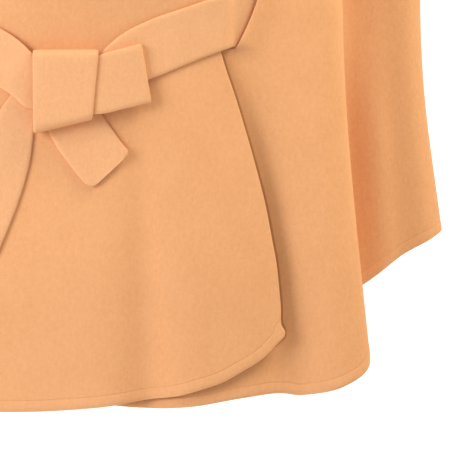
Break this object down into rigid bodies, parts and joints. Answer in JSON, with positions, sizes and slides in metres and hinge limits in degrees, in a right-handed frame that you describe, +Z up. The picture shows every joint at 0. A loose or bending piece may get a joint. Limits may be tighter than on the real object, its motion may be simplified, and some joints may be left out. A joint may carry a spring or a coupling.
{
  "type": "shawl collar poncho",
  "caption": "Belted wrap poncho of double-faced wool with a shawl collar, a rounded overlapping front, wide wing sides and a tied self-fabric belt that passes through slits in the fronts",
  "frame": {"origin": "midway between the two side-neck points, where the wearer's shoulders hold the garment up", "axes": "+Z up, the front faces -Y, +X is the wearer's left"},
  "size_m": [0.8702, 0.3633, 0.8134],
  "materials": {
    "wool": "double-faced wool with a fine nap, matte, apricot camel"
  },
  "bodies": {
    "root": {"back": "wool", "right_front": "wool", "left_front": "wool", "shawl_collar": "wool", "belt_band": "wool", "belt_wrap": "wool", "belt_loop": "wool", "belt_tail_right": "wool", "belt_tail_left": "wool"}
  },
  "joints": []
}
